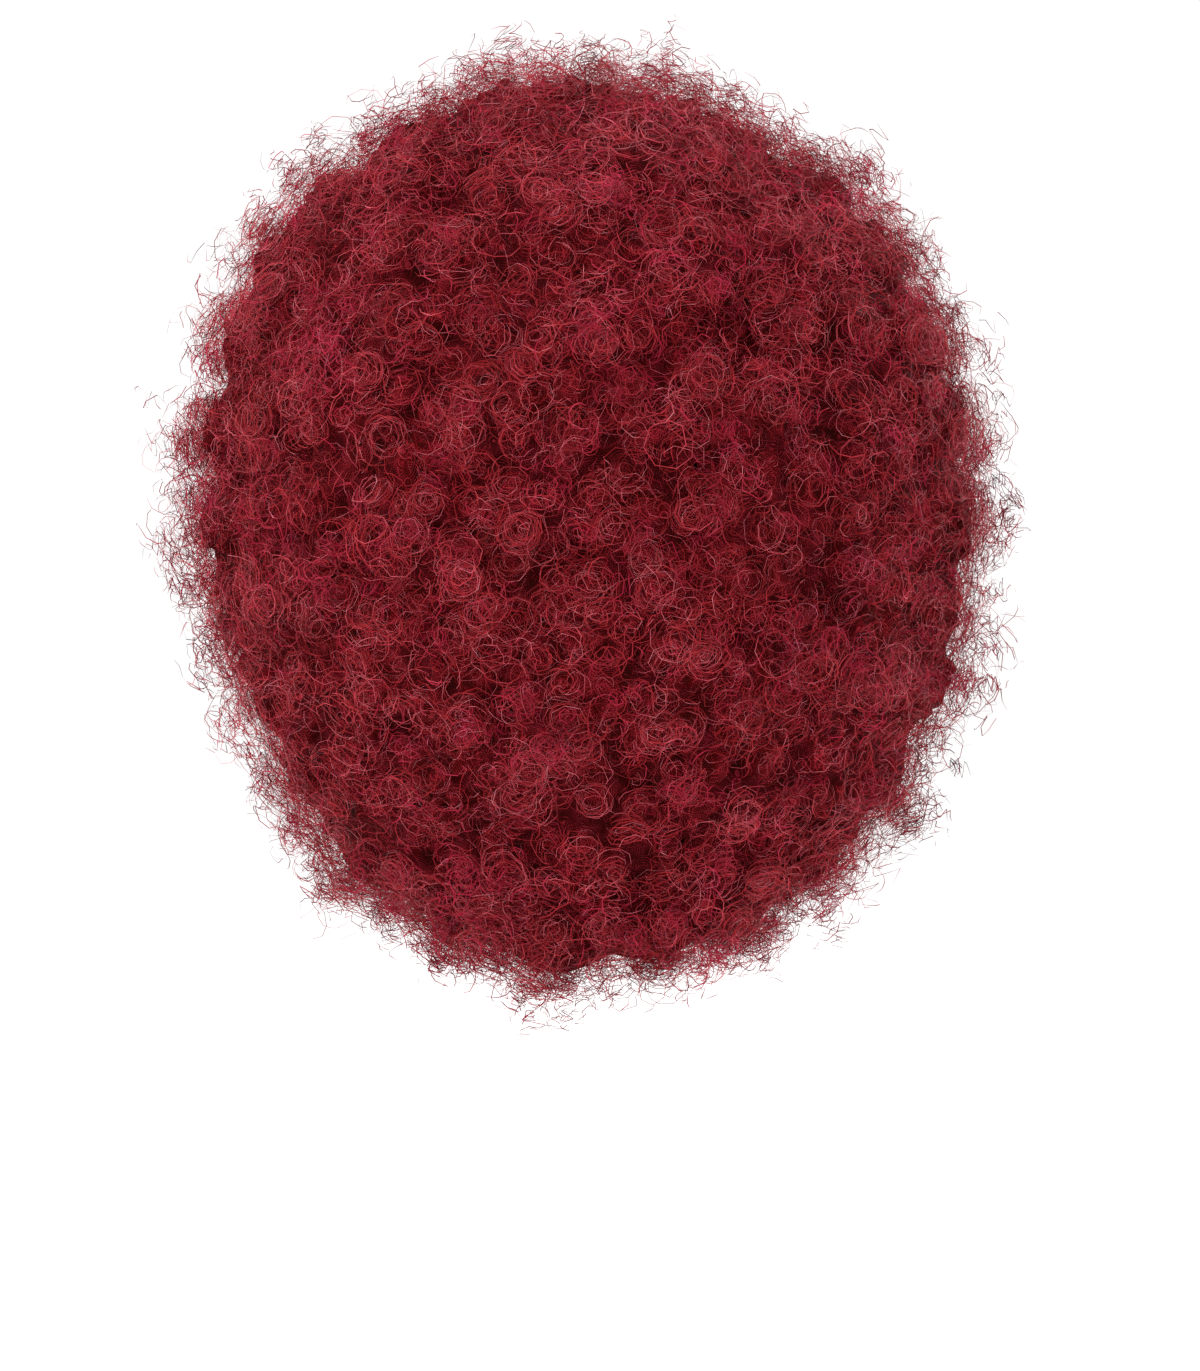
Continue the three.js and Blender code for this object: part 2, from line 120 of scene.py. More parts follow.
# Kinds of strand. A coil's radius is a share of its lock's, and the others' are in metres. The
# start is along the lock's axis, and the places' scatter, the tilt and the drift are at random.
WIDE_COIL = {"count": 14800, "steps": 12, "radius": (0.62, 1.15)}
TIGHT_COIL = {"count": 8600, "steps": 9, "radius": (0.22, 0.66)}
COIL = {
    "tilt": 1.1, "turns": (0.9, 1.6), "pitch": (0.003, 0.007), "start": (-0.0115, -0.0005),
    "scatter": 0.002, "rosette_scatter": 0.0008, "drift": 0.0025, "shade_spread": 0.13,
    "rosette_weight": 2.2,
}
LOOP = {
    "count": 15800, "steps": 8, "radius": (0.003, 0.0088), "turns": (0.4, 1.0), "rise": 0.006,
    "along": 0.5, "tilt": 0.75, "start": (-0.005, 0.0085), "scatter": 0.0045, "drift": 0.003,
    "shade": 0.06, "shade_spread": 0.16, "rosette_weight": 0.15,
}
STRAY = {
    "count": 3500, "steps": 10, "radius": (0.0016, 0.0052), "turns": (0.9, 2.1),
    "rise": (0.003, 0.017), "tilt": 0.6, "start": (-0.001, 0.0095), "scatter": 0.005,
    "drift": 0.004, "shade": -0.12, "shade_spread": 0.1,
}
WISP = {
    "count": 700, "fibres": 6, "steps": 10, "radius": (0.002, 0.005), "turns": (1.0, 1.9),
    "rise": (0.004, 0.013), "tilt": 0.4, "start": (0.0, 0.009), "scatter": 0.005,
    "drift": 0.002, "shade": -0.16, "shade_spread": 0.1,
}

# How far a wisp's own fibres differ from one another
WISP_FIBRE = {
    "tilt": 0.2, "radius": (0.7, 1.25), "turns": (-0.2, 0.2), "rise": (-0.002, 0.002),
    "start": 0.001, "scatter": 0.001, "shade_spread": 0.06,
}

# Tufts from which more strays and wisps stand
OUTER = {
    "mean": 0.6, "variation": 1.5, "size": 0.028, "range": (0.1, 1.6), "facing": -0.3,
    "rosette_weight": 0.2, "clump": 0.25,
}

SWELL = 0.16  # how much wider a coil is halfway along
SWELL_SHIFT = 0.8
FRIZZ = 0.0003
RIBBON_TILT = (20, 65)  # degrees that a ribbon leans out of its coil
RIBBON_TIP = 0.35  # its width at its tips, as a share
RIBBON_TAPER = 0.5  # and the share that it gains with each step
FIBRE_WIDTH = (0.00027, 0.00042)
STRAY_WIDTH = (0.00034, 0.0005)
PAINTED_GLINT_WIDTH = 0.0002
PAINTED_GLINT_SHARE = 0.35  # painted highlights: fibres in pale tones that stand for glints of light
STRAY_PAINTED_GLINT_SHARE = 0.08
PAINTED_GLINT_SHADE = 0.86  # and over: the pale tones of the painted glints
SHADE_STRIPS = 64  # of the map, one for each shade
STRIP_MARGIN = 0.15
FIBRE_SHEEN = (1.0, 0.5, 0.56, 1.0)

# Where the crown's and the nape's pieces end, as shares of the locks by height
CROWN_FROM = 0.83
NAPE_TO = 0.16

# Tones of the fibre from dark to pale, in the curls and in the finer strays, which let light through. The
# palest tones, from 0.86 up, are painted highlights for the glints
CURL_TONES = [
    (0.0, (94, 5, 6)),
    (0.3, (144, 25, 32)),
    (0.6, (175, 47, 58)),
    (0.85, (204, 94, 106)),
    (1.0, (222, 142, 150)),
]
STRAY_TONES = [
    (0.0, (108, 8, 24)),
    (0.3, (147, 18, 44)),
    (0.6, (182, 44, 74)),
    (0.85, (204, 94, 116)),
    (1.0, (220, 142, 162)),
]

# The cap's net with rows of weft, and the gathered band
FABRIC_ROUNDS = 4
CAP_EDGE = 0.0052
BAND_EDGE = 0.0034
WEFT_SCALE = 26.0  # of the wave texture that draws the rows
WEFT_SPACING = 2 * math.pi / (20 * WEFT_SCALE)
WEFT_HEIGHT = 0.0005
WEFT_SWAY = 0.0015
NET_HEIGHT = 0.00015
GATHERS = 120
GATHER_HEIGHT = 0.00022
GATHER_SWAY = 1.5  # radians of a gather
ELASTIC_HEIGHT = 0.0001
WELD_DISTANCE = 1e-5

# Starts of the noise fields, which keeps them apart
FIELDS = {
    "relief": 0, "clumps": 7, "shades": 13, "mess": 21, "elastic": 29, "outer": 35,
    "heights": 51, "weft": 61, "net": 83, "gathers": 97,
}

REACH_LIMIT = 0.019  # how far past the frame's box a stray may go
SEED = 20

BALL_CENTRE = np.array([0.004, 0.018, -0.083])

# Gaps between tufts at the back, which lie deeper and are darkened with painted shade: across and up place
# the middle in metres, length lies level and height is how far the tufts part
GAP_SAG = 0.006
GAP_SAG_RUN = 0.012
GAPS = [
    {"across": 0.045, "up": -0.098, "length": 0.065, "height": 0.0055},
    {"across": -0.035, "up": -0.066, "length": 0.05, "height": 0.006},
    {"across": -0.065, "up": 0.004, "length": 0.04, "height": 0.005},
    {"across": 0.09, "up": -0.012, "length": 0.035, "height": 0.005},
    {"across": -0.11, "up": -0.125, "length": 0.045, "height": 0.005},
    {"across": 0.1, "up": -0.19, "length": 0.045, "height": 0.005},
    {"across": -0.02, "up": -0.215, "length": 0.04, "height": 0.005},
    {"across": -0.1, "up": -0.235, "length": 0.035, "height": 0.005},
]

# The lower edge is drawn in, except where the hair hangs lowest at the back
NAPE = {"across": 0.013, "reach": 0.05, "drop": 0.0105}
DRAWN_IN = {"up": -0.256, "run": 0.025, "depth": 0.0075}

# Where its sides are fullest below the ears
CHEEK = {"up": -0.232, "reach": 0.022, "across": 0.08, "run": 0.03, "height": 0.005}

# A thin place at the lower edge, where the curls hang apart
THIN = {"across": 0.15, "up": -0.255, "reach": 0.038, "depth": 0.006, "fewer": 0.2}

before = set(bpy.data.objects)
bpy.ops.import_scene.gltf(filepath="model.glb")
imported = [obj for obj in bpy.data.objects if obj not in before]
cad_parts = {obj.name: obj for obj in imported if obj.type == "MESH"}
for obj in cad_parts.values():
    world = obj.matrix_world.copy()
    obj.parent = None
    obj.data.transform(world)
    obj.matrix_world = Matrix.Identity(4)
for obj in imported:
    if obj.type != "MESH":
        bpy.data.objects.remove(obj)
cad_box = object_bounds()
rng = np.random.default_rng(SEED)
scene = bpy.context.scene
hair_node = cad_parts["hair"]
cap_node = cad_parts["wig_cap"]
band_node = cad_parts["edge_band"]


def unit(rows):
    """Rows of vectors scaled to length 1."""
    return rows / np.maximum(np.linalg.norm(rows, axis=-1, keepdims=True), 1e-9)


def linear(red, green, blue):
    """A colour for a shader from its 0 to 255 display values."""
    values = [v / 255 for v in (red, green, blue)]
    return [v / 12.92 if v <= 0.04045 else ((v + 0.055) / 1.055) ** 2.4 for v in values] + [1.0]


def uniform(low, high, count):
    return rng.uniform(low, high, count)


# Materials


def new_material(name, roughness, specular):
    """A material with its own shader; returns it, its node tree and the shader."""
    material = bpy.data.materials.new(name)
    material.use_nodes = True
    tree = material.node_tree
    shader = tree.nodes["Principled BSDF"]
    shader.inputs["Roughness"].default_value = roughness
    shader.inputs["Specular IOR Level"].default_value = specular
    return material, tree, shader


def add_node(tree, kind, links=(), **values):
    """Adds a node, sets its named inputs or properties, and links (socket, input) pairs to it."""
    node = tree.nodes.new(kind)
    for name, value in values.items():
        if hasattr(node, name):
            setattr(node, name, value)
        else:
            node.inputs[name.replace("_", " ")].default_value = value
    for socket, name in links:
        tree.links.new(socket, node.inputs[name])
    return node


def add_ramp(tree, socket, stops):
    """A colour ramp over (place, colour) stops."""
    node = tree.nodes.new("ShaderNodeValToRGB")
    elements = node.color_ramp.elements
    while len(elements) < len(stops):
        elements.new(0.5)
    for element, (place, colour) in zip(elements, stops):
        element.position = place
        element.color = colour
    tree.links.new(socket, node.inputs["Fac"])
    return node.outputs["Color"]


def grey(value):
    return (value, value, value, 1.0)


def multiply(tree, first, second, share=1.0):
    """One colour times another."""
    node = tree.nodes.new("ShaderNodeMix")
    node.data_type = "RGBA"
    node.blend_type = "MULTIPLY"
    node.inputs["Factor"].default_value = share
    tree.links.new(first, node.inputs["A"])
    tree.links.new(second, node.inputs["B"])
    return node.outputs["Result"]


def add_bump(tree, shader, height, distance):
    node = add_node(tree, "ShaderNodeBump", [(height, "Height")], Distance=distance)
    tree.links.new(node.outputs["Normal"], shader.inputs["Normal"])


def calculate(tree, operation, first, second=None):
    """A Math node's result from a socket and a socket or number."""
    node = add_node(tree, "ShaderNodeMath", [(first, 0)], operation=operation)
    if isinstance(second, float):
        node.inputs[1].default_value = second
    elif second is not None:
        tree.links.new(second, node.inputs[1])
    return node.outputs[0]


def fibre_material(name, tones):
    """Synthetic fibre. Across its map lie the shades, and along it goes from root to tip, with painted
    shade that darkens it towards the root.
    """
    material, tree, shader = new_material(name, 0.48, 0.19)
    shader.inputs["Specular Tint"].default_value = FIBRE_SHEEN
    place = add_node(tree, "ShaderNodeUVMap", uv_map="OFBake").outputs["UV"]
    parts = add_node(tree, "ShaderNodeSeparateXYZ", [(place, "Vector")])
    # Noise along each fibre darkens it in patches: tone that varies along the fibre, and it breaks the
    # painted glints into short painted highlights
    stretched = add_node(tree, "ShaderNodeMapping", [(place, "Vector")])
    stretched.inputs["Scale"].default_value = (6.0, 150.0, 1.0)
    streaks = add_node(tree, "ShaderNodeTexNoise", [(stretched.outputs["Vector"], "Vector")], Scale=1.0)
    fading = add_ramp(tree, streaks.outputs["Fac"], [(0.38, grey(0.5)), (0.6, grey(1.0))])
    level = calculate(tree, "MULTIPLY", parts.outputs["Y"], fading)
    shade = add_ramp(tree, level, [(place, linear(*tone)) for place, tone in tones])
    # Painted shade: darker towards the root, where the fibre lies deep in the hair
    along = add_ramp(tree, parts.outputs["X"], [
        (0.0, grey(0.4)),
        (0.35, grey(0.8)),
        (1.0, grey(1.0)),
    ])
    tree.links.new(multiply(tree, shade, along), shader.inputs["Base Color"])
    return material


def arc_layer(tree, place, start, cell, spacing, bend):
    """Thin arcs of fibre round the middles of cells, from 0 to 1, that come and go."""
    moved = add_node(tree, "ShaderNodeMapping", [(place, "Vector")])
    moved.inputs["Location"].default_value = start
    moved = moved.outputs["Vector"]
    drift = add_node(tree, "ShaderNodeTexNoise", [(moved, "Vector")], Scale=0.7 / cell, Detail=1.0)
    bent = add_node(tree, "ShaderNodeVectorMath", [(drift.outputs["Color"], 0), (moved, 2)])
    bent.operation = "MULTIPLY_ADD"
    bent.inputs[1].default_value = (bend, bend, bend)
    cells = add_node(tree, "ShaderNodeTexVoronoi", [(bent.outputs[0], "Vector")], Scale=1 / cell)
    turned = calculate(tree, "MULTIPLY", cells.outputs["Distance"], 2 * math.pi * cell / spacing)
    wave = calculate(tree, "SINE", turned)
    level = calculate(tree, "ADD", calculate(tree, "MULTIPLY", wave, 0.5), 0.5)
    line = calculate(tree, "POWER", level, 2.0)
    mask = add_node(tree, "ShaderNodeTexNoise", [(moved, "Vector")], Scale=2.2 / cell, Detail=0.0)
    shown = add_ramp(tree, mask.outputs["Fac"], [(0.42, grey(0.0)), (0.58, grey(1.0))])
    return calculate(tree, "MULTIPLY", line, shown)


def mass_material():
    """Packed curls seen between the outer ones: fine arcs of fibre that cross one another, with painted
    shade in the hollows and gaps from the lift attribute.
    """
    material, tree, shader = new_material("hair_mass_fibre", 0.65, 0.03)
    place = add_node(tree, "ShaderNodeTexCoord").outputs["Object"]
    arcs = None
    for start, cell, spacing, bend in (
        ((0.0, 0.0, 0.0), 0.016, 0.0009, 0.005),
        ((0.31, 0.17, 0.05), 0.012, 0.0011, 0.004),
        ((0.11, 0.43, 0.29), 0.021, 0.0008, 0.007),
    ):
        layer = arc_layer(tree, place, start, cell, spacing, bend)
        arcs = layer if arcs is None else calculate(tree, "MAXIMUM", arcs, layer)
    fibres = add_ramp(tree, arcs, [
        (0.0, linear(64, 3, 4)),
        (0.4, linear(110, 10, 17)),
        (1.0, linear(174, 42, 56)),
    ])
    # Painted shade: darker where the mass lies low in its relief and in the gaps between tufts
    lift = add_node(tree, "ShaderNodeAttribute", attribute_name="lift").outputs["Fac"]
    shaded = add_ramp(tree, lift, [(0.0, grey(0.32)), (0.5, grey(0.74)), (1.0, grey(1.0))])
    tree.links.new(multiply(tree, fibres, shaded), shader.inputs["Base Color"])
    add_bump(tree, shader, arcs, 0.0007)
    return material


def net_material():
    """Soft dark net with rows of stitched weft across it."""
    material, tree, shader = new_material("cap_net", 0.82, 0.25)
    place = add_node(tree, "ShaderNodeTexCoord").outputs["Object"]
    cells = add_node(tree, "ShaderNodeTexVoronoi", [(place, "Vector")], Scale=420.0)
    cells.feature = "DISTANCE_TO_EDGE"
    threads = add_ramp(tree, cells.outputs["Distance"], [
        (0.0, linear(132, 88, 90)),
        (0.14, linear(96, 58, 62)),
        (0.3, linear(48, 27, 31)),
    ])
    rows = add_node(tree, "ShaderNodeTexWave", [(place, "Vector")], Scale=WEFT_SCALE, Detail=1.0)
    rows.inputs["Distortion"].default_value = 0.6
    rows.bands_direction = "Z"
    weft = add_ramp(tree, rows.outputs["Fac"], [
        (0.0, grey(1.0)),
        (0.72, grey(0.92)),
        (0.9, (1.0, 0.22, 0.26, 1.0)),
    ])
    tree.links.new(multiply(tree, threads, weft), shader.inputs["Base Color"])
    raised = add_ramp(tree, cells.outputs["Distance"], [(0.0, grey(1.0)), (0.25, grey(0.0))])
    add_bump(tree, shader, raised, 0.0005)
    return material


def elastic_material():
    """Woven elastic: fine ribs along the band over a soft dark ground."""
    material, tree, shader = new_material("band_elastic", 0.7, 0.3)
    place = add_node(tree, "ShaderNodeTexCoord").outputs["Object"]
    ribs = add_node(tree, "ShaderNodeTexWave", [(place, "Vector")], Scale=240.0, Distortion=0.8, Detail=2.0)
    ribs.bands_direction = "Z"
    ribbed = add_ramp(tree, ribs.outputs["Fac"], [(0.1, linear(34, 22, 25)), (0.9, linear(92, 66, 70))])
    fluff = add_node(tree, "ShaderNodeTexNoise", [(place, "Vector")], Scale=900.0, Detail=3.0)
    fluffed = add_ramp(tree, fluff.outputs["Fac"], [(0.3, grey(0.7)), (0.7, grey(1.0))])
    tree.links.new(multiply(tree, ribbed, fluffed), shader.inputs["Base Color"])
    add_bump(tree, shader, ribs.outputs["Fac"], 0.0004)
    return material


def floor_material():
    """Plain pale studio floor with a faint unevenness."""
    material, tree, shader = new_material("studio_floor", 0.85, 0.1)
    place = add_node(tree, "ShaderNodeTexCoord").outputs["Object"]
    cloud = add_node(tree, "ShaderNodeTexNoise", [(place, "Vector")], Scale=1.5)
    pale = add_ramp(tree, cloud.outputs["Fac"], [(0.3, grey(0.95)), (0.7, grey(0.97))])
    tree.links.new(pale, shader.inputs["Base Color"])
    return material


# The mass of hair


def drop_specks(mesh):
    """Keeps only the largest of a mesh's loose islands."""
    work = bmesh.new()
    work.from_mesh(mesh)
    seen = set()
    islands = []
    for start in work.verts:
        if start in seen:
            continue
        seen.add(start)
        island = [start]
        for vertex in island:
            for edge in vertex.link_edges:
                other = edge.other_vert(vertex)
                if other not in seen:
                    seen.add(other)
                    island.append(other)
        islands.append(island)
    islands.sort(key=len)
    bmesh.ops.delete(work, geom=[v for island in islands[:-1] for v in island], context="VERTS")
    work.to_mesh(mesh)
    work.free()


def evened_copy(node, voxel):
    """A smoothed copy of a CAD node, evenly divided, as a new object."""
    copy = bpy.data.objects.new("hair_mass", node.data.copy())
    scene.collection.objects.link(copy)
    even = copy.modifiers.new("even", "REMESH")
    even.mode = "VOXEL"
    even.voxel_size = voxel
    even.use_smooth_shade = True
    soft = copy.modifiers.new("soft", "SMOOTH")
    soft.factor = 0.5
    soft.iterations = MASS_SMOOTHING
    graph = bpy.context.evaluated_depsgraph_get()
    mesh = bpy.data.meshes.new_from_object(copy.evaluated_get(graph))
    copy.modifiers.clear()
    drop_specks(mesh)
    copy.data = mesh
    return copy


def vertex_rows(mesh):
    """Places and normals of a mesh's vertices."""
    count = len(mesh.vertices)
    places = np.empty(count * 3, np.float32)
    normals = np.empty(count * 3, np.float32)
    mesh.vertices.foreach_get("co", places)
    mesh.vertex_normals.foreach_get("vector", normals)
    return places.reshape(-1, 3).astype(float), normals.reshape(-1, 3).astype(float)


def distances_to(node, places, most):
    """How far each place is from a node, up to a most."""
    tree = BVHTree.FromObject(node, bpy.context.evaluated_depsgraph_get())
    found = [tree.find_nearest(Vector(p), most) for p in places]
    return np.array([f[3] if f[3] is not None else most for f in found])


def wander(places, size, field):
    """Smooth noise from -1 to 1 at each place, at a size in metres."""
    start = Vector((FIELDS[field], 0, 0))
    return np.array([noise.noise(Vector(p) / size + start) for p in places])


def gap_depth(places):
    """How deep in a gap between tufts each place lies, from 0 to 1."""
    depth = np.zeros(len(places))
    behind = places[:, 1] > BALL_CENTRE[1]
    for gap in GAPS:
        sag = GAP_SAG * np.sin((places[:, 0] - gap["across"]) / GAP_SAG_RUN)
        along = (places[:, 0] - gap["across"]) / (gap["length"] / 2)
        over = (places[:, 2] - gap["up"] - sag) / gap["height"]
        depth = np.maximum(depth, behind * np.exp(-(along ** 4) - over ** 2))
    return depth


def spread_over(mesh, values, rounds):
    """Values at a mesh's vertices, evened out with those next to them."""
    ends = np.empty(len(mesh.edges) * 2, np.int32)
    mesh.edges.foreach_get("vertices", ends)
    one, other = ends.reshape(-1, 2).T
    near = np.bincount(ends, minlength=len(values)).clip(1)
    for _ in range(rounds):
        total = np.zeros_like(values)
        np.add.at(total, one, values[other])
        np.add.at(total, other, values[one])
        values = (total.T / near).T
    return values


def corner_inset(mesh, places, normals):
    """How much deeper the mass lies at its corners, where curls spread apart."""
    bulge = ((places - spread_over(mesh, places, CORNER_ROUNDS)) * normals).sum(1)
    bulge = spread_over(mesh, bulge, CORNER_ROUNDS)
    return np.clip((bulge - CORNER_LEAST) * CORNER_GAIN, 0, CORNER_INSET)


def thinness(places):
    """How thin the hair hangs at each place, from 0 to 1."""
    off = np.hypot(places[:, 0] - THIN["across"], places[:, 2] - THIN["up"])
    return np.exp(-(off / THIN["reach"]) ** 2)


mass = evened_copy(hair_node, MASS_VOXEL)
surface, outward = vertex_rows(mass.data)
to_cap = distances_to(cap_node, surface, CAP_SEARCH)


# The places of the curls


def spread_places(candidates, spacing):
    """Numbers of the candidates kept so that no two lie closer than the spacing."""
    cells = {}
    kept = []
    keys = np.floor(candidates / spacing).astype(int)
    near = [(i, j, k) for i in (-1, 0, 1) for j in (-1, 0, 1) for k in (-1, 0, 1)]
    for number in rng.permutation(len(candidates)):
        x, y, z = keys[number]
        close = [m for i, j, k in near for m in cells.get((x + i, y + j, z + k), ())]
        if close:
            apart = np.linalg.norm(candidates[close] - candidates[number], axis=1)
            if apart.min() < spacing:
                continue
        cells.setdefault((x, y, z), []).append(number)
        kept.append(number)
    return np.array(kept)


open_hair = np.flatnonzero(to_cap > LOCK_TO_CAP)
locks = open_hair[spread_places(surface[open_hair], LOCK_SPACING)]
lock_count = len(locks)
lock_places = surface[locks] - outward[locks] * LOCK_SINK
lock_up = lock_places[:, 2]
radial = unit(lock_places - BALL_CENTRE)
facing = (outward[locks] * radial).sum(1)
outer = facing > OUTER_FACING

# Their axes and radii
lean = np.clip(facing, 0, 1)[:, None] * LOCK_LEAN
turned = rng.normal(0, LOCK_TURN, (lock_count, 3))
lock_axes = unit(outward[locks] + lean * radial + turned + (0, 0, -LOCK_DROOP))
lock_radii = uniform(*LOCK_RADIUS, lock_count) * np.where(outer, 1.0, INNER_RADIUS)

# Their heights over the frame's surface, in clumps
clump = np.clip(np.abs(wander(lock_places * CLUMP_STRETCH, CLUMP_SIZE, "clumps")) / CLUMP_FULL, 0, 1)
lock_height = CLUMP_HEIGHT * (clump - CLUMP_MEAN)
lock_height = lock_height + HEIGHT_VARIATION * wander(lock_places, HEIGHT_SIZE, "heights")
lock_height -= GAP_DROP * gap_depth(lock_places)
lock_height = np.where(outer, lock_height, lock_height - INNER_DROP)

# How untidy they are
untidy = MESS["middle"] + wander(lock_places, MESS["size"], "mess") + MESS["crown"] * lock_up
lock_mess = MESS["least"] + MESS["range"] * np.clip(untidy, 0, 1)

# Their shades: painted light makes them paler at the crown, and painted shade makes them darker in the
# gaps, the creases, the low clumps and the middle of the back
crown_light = np.clip((lock_up - CROWN_LIGHT["up"]) / CROWN_LIGHT["run"], 0, 1)
lock_shade = SHADE["mean"] + SHADE["drift"] * wander(lock_places, SHADE["drift_size"], "shades")
lock_shade = lock_shade + SHADE["crown"] * crown_light - SHADE["gap"] * gap_depth(lock_places)
# Painted shade in the creases between clumps and on low clumps, and painted light on high clumps
painted_crease_shade = np.exp(-(clump / CLUMP_CREASE) ** 2)
lock_shade += SHADE["clump"] * (clump - CLUMP_MEAN) - SHADE["painted_crease_shade"] * painted_crease_shade
lock_shade += rng.normal(0, SHADE["curl"], lock_count)
off_middle = np.hypot(
    lock_places[:, 0] / MIDDLE_PAINTED_SHADE["across"],
    (lock_up - MIDDLE_PAINTED_SHADE["up"]) / MIDDLE_PAINTED_SHADE["high"],
)
lock_shade -= SHADE["middle"] * np.exp(-off_middle ** 2) * (lock_places[:, 1] > 0)

# Which way they coil, and how many strands they get
lock_hand = rng.choice([-1.0, 1.0], lock_count)
free = np.clip((FULL_EDGE["up"] - lock_up) / FULL_EDGE["run"], 0, 1)
lock_weight = 1 + FULL_EDGE["more"] * free
lock_weight *= 1 - THIN["fewer"] * thinness(lock_places)

# The neat rings among them
rosette = (rng.random(lock_count) < ROSETTE_SHARE) & (facing > ROSETTE_FACING)
lock_mess = np.where(rosette, ROSETTE_MESS, lock_mess)
lock_radii = np.where(rosette, uniform(*ROSETTE_RADIUS, lock_count), lock_radii)
lock_height = np.where(rosette, lock_height + ROSETTE_LIFT, lock_height)

# The outline at the nape, the lower edge and the cheeks
nape = np.exp(-(((lock_places[:, 0] - NAPE["across"]) / NAPE["reach"]) ** 2))
low = np.clip((DRAWN_IN["up"] - lock_up) / DRAWN_IN["run"], 0, 1)
lock_height += (NAPE["drop"] * nape - DRAWN_IN["depth"]) * low
beside = np.clip((np.abs(lock_places[:, 0]) - CHEEK["across"]) / CHEEK["run"], 0, 1)
level = np.exp(-(((lock_up - CHEEK["up"]) / CHEEK["reach"]) ** 2))
lock_height += CHEEK["height"] * beside * level
print("locks", lock_count, "of", len(surface))


# The mass takes on the curls' tufts


def nearest_locks(places):
    """Each place's nearest lock, and how far the place lies from that lock's axis."""
    tree = KDTree(len(lock_places))
    for number, place in enumerate(lock_places):
        tree.insert(place, number)
    tree.balance()
    nearest = np.array([tree.find(place)[1] for place in places])
    away = places - lock_places[nearest]
    along = (away * lock_axes[nearest]).sum(1)[:, None]
    return nearest, np.linalg.norm(away - along * lock_axes[nearest], axis=1)


nearest, off_axis = nearest_locks(surface)
rim = np.clip(off_axis / (TUFT_REACH * LOCK_SPACING), 0, 1)
dimple = TUFT_DIMPLE * np.exp(-(off_axis / TUFT_DIMPLE_REACH) ** 2)
tuft = TUFT_RELIEF * np.cos(np.pi * rim) - dimple
height = spread_over(mass.data, TUFT_FOLLOWS * lock_height[nearest], TUFT_ROUNDS)
tuft += height
fine = MASS_RELIEF * wander(surface, RELIEF_SIZE, "relief")
hollow = MASS_GAP * gap_depth(surface) + THIN["depth"] * thinness(surface)
on_cap = np.clip(CAP_BLEND - to_cap / CAP_REACH, 0, 1)
low_edge = np.clip((LOW_EDGE - surface[:, 2]) / LOW_EDGE_RUN, 0, 1)
open_inset = MASS_INSET + (MASS_EDGE_INSET - MASS_INSET) * low_edge
corner = corner_inset(mass.data, surface, outward)
inset = (open_inset + corner - tuft - fine + hollow) * (1 - on_cap)
inset += MASS_CAP_INSET * on_cap
mass_places = surface - outward * inset[:, None]
mass.data.vertices.foreach_set("co", mass_places.astype(np.float32).ravel())
# Painted shade on the mass, kept in its lift attribute: darker where its relief lies low and in the gaps
# between tufts
lift = np.clip(0.5 + (tuft - height + fine) / PAINTED_SHADE_RANGE, 0, 1)
lift *= 1 - GAP_PAINTED_SHADE * gap_depth(surface)
painted_shade_layer = mass.data.attributes.new("lift", "FLOAT", "POINT")
painted_shade_layer.data.foreach_set("value", lift.astype(np.float32))
mass.data.update()
print("hair_mass", sum(len(face.vertices) - 2 for face in mass.data.polygons), "triangles")
mass.data.materials.clear()
mass.data.materials.append(mass_material())
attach(mass, "root")
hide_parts("hair")


# The strands


def across(axes):
    """Two unit vectors square to each axis, turned at random about it."""
    other = np.where(np.abs(axes[:, 2:]) > 0.8, (1.0, 0.0, 0.0), (0.0, 0.0, 1.0))
    first = unit(np.cross(axes, other))
    second = np.cross(axes, first)
    turn = uniform(0, 2 * np.pi, len(axes))[:, None]
    return (
        first * np.cos(turn) + second * np.sin(turn),
        second * np.cos(turn) - first * np.sin(turn),
    )


def pick_locks(count, rosette_weight):
    """Numbers of locks for new strands, more of them where the hair hangs free."""
    weight = lock_weight * np.where(rosette, rosette_weight, 1.0)
    return rng.choice(lock_count, count, p=weight / weight.sum())


def coil_paths(base, axes, radii, turns, start, rise, hand, steps, drift):
    """Points along springs that stand on their bases, and the side that each ribbon faces."""
    count = len(base)
    t = np.linspace(0, 1, steps)[None, :]
    first, second = across(axes)
    angle = hand[:, None] * 2 * np.pi * turns[:, None] * t
    swell = 1 + SWELL * np.sin(np.pi * t + uniform(-SWELL_SHIFT, SWELL_SHIFT, count)[:, None])
    ring = (radii[:, None] * swell)[..., None]
    round_it = first[:, None] * np.cos(angle)[..., None] + second[:, None] * np.sin(angle)[..., None]
    height = (start[:, None] + rise[:, None] * t)[..., None]
    slide = rng.normal(0, drift, (count, 1, 3)) * t[..., None]
    points = base[:, None] + axes[:, None] * height + round_it * ring + slide
    points += rng.normal(0, FRIZZ, points.shape)
    tilt = np.radians(uniform(*RIBBON_TILT, count)) * rng.choice([-1, 1], count)
    sides = round_it * np.cos(tilt)[:, None, None] + axes[:, None] * np.sin(tilt)[:, None, None]
    return points, sides


